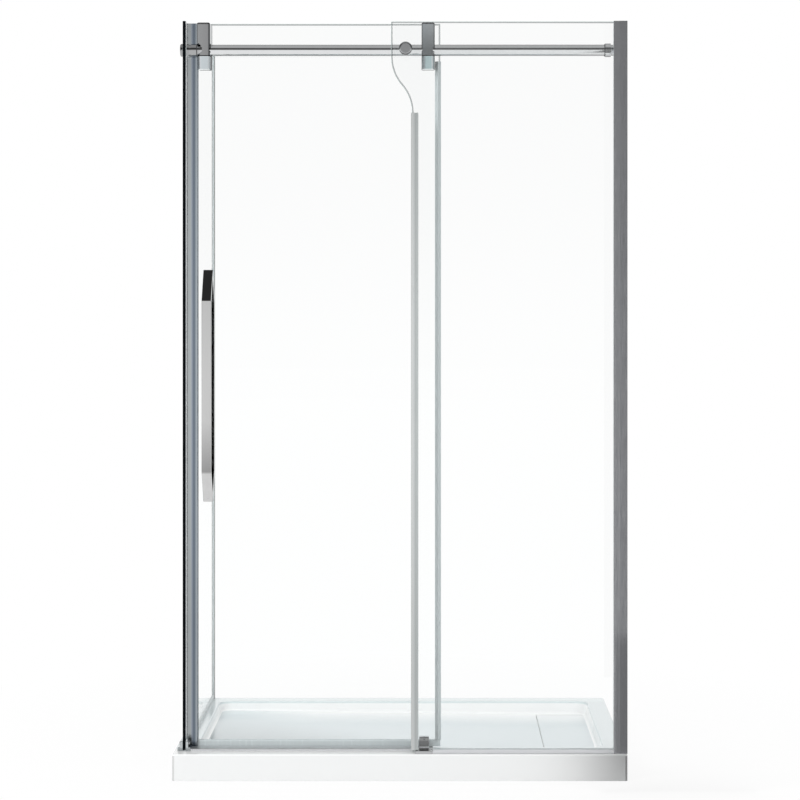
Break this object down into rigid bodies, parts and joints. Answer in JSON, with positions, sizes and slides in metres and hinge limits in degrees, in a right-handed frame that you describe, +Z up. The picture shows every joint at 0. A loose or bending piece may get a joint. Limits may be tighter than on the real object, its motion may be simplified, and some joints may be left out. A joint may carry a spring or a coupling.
{
  "type": "sliding corner shower door",
  "caption": "Frameless corner shower enclosure on a low white tray, with a glass door that hangs from a round rail on roller hangers, a fixed pane, a return pane and a long pull handle.",
  "frame": {"origin": "middle of the tray's underside, on the floor", "axes": "+X to the right along the doorway, +Y into the shower towards the back wall, +Z up"},
  "size_m": [1.2, 0.8, 2.006],
  "materials": {
    "tray_white": "gloss",
    "foam": "matte",
    "clear_glass": "polished",
    "chrome": "polished",
    "polished_aluminium": "bright anodised",
    "steel": "satin",
    "clear_vinyl": "clear",
    "black_rubber": "matte",
    "dark_nylon": "satin",
    "white_nylon": "satin"
  },
  "bodies": {
    "enclosure": {"corner_clamp": "chrome", "drain_body": "steel", "drain_nut": "dark_nylon", "drain_seal": "black_rubber", "drain_strainer": "steel", "edge_trim": "polished_aluminium", "fitting_gaskets": "clear_vinyl", "fixed_glass": "clear_glass", "fixed_splash_fin": "clear_vinyl", "frame_screws": "steel", "glazing_gaskets": "clear_vinyl", "guide_base": "chrome", "guide_block_back": "dark_nylon", "guide_block_front": "dark_nylon", "jamb_adjusting_channel": "polished_aluminium", "jamb_wall_channel": "polished_aluminium", "rail_bolt": "steel", "rail_cap": "chrome", "rail_socket": "chrome", "rail_standoff": "chrome", "rail_stop_pads": "black_rubber", "rail_stop_screws": "steel", "rail_stops": "chrome", "rail_tube": "chrome", "rail_wall_bracket": "chrome", "return_foot_seal": "clear_vinyl", "return_glass": "clear_glass", "return_wall_channel": "polished_aluminium", "sill_channel": "polished_aluminium", "standoff_knob": "chrome", "standoff_stud": "steel", "strike_bumper": "black_rubber", "strike_channel": "polished_aluminium", "strike_tape": "black_rubber", "support_blocks": "foam", "threshold": "polished_aluminium", "tray_shell": "tray_white"},
    "door": {"door_glass": "clear_glass", "hanger_pads": "black_rubber", "hanger_clamp_plates": "chrome", "hanger_bolts": "steel", "keeper_screws": "steel", "roller_axles": "steel", "hanger_body_left": "chrome", "hanger_body_right": "chrome", "keeper_block_left": "chrome", "keeper_block_right": "chrome", "handle_outside": "chrome", "handle_inside": "chrome", "handle_studs": "steel", "handle_washers": "black_rubber", "nose_seal": "clear_vinyl", "trailing_seal": "clear_vinyl", "door_sweep": "clear_vinyl"},
    "roller_left_body": {"roller_left": "white_nylon", "roller_bearings_left": "steel"},
    "roller_right_body": {"roller_right": "white_nylon", "roller_bearings_right": "steel"},
    "cover": {"drain_cover": "tray_white", "cover_pads": "black_rubber"}
  },
  "joints": [
    {"name": "door_slide", "type": "slide", "parent": "enclosure", "child": "door", "axis": [1, 0, 0], "range_m": [0, 0.4505]},
    {"name": "roller_left_spin", "type": "hinge", "parent": "door", "child": "roller_left_body", "pos_m": [-0.5214, -0.3345, 1.9553], "axis": [0, 1, 0], "continuous": true},
    {"name": "roller_right_spin", "type": "hinge", "parent": "door", "child": "roller_right_body", "pos_m": [0.0746, -0.3345, 1.9553], "axis": [0, 1, 0], "continuous": true},
    {"name": "cover_lift", "type": "slide", "parent": "enclosure", "child": "cover", "axis": [0, 0, 1], "range_m": [0, 0.1]}
  ],
  "couplings": [
    {"joint": "roller_left_spin", "follows": "door_slide", "rad_per_m": 100},
    {"joint": "roller_right_spin", "follows": "door_slide", "rad_per_m": 100}
  ]
}
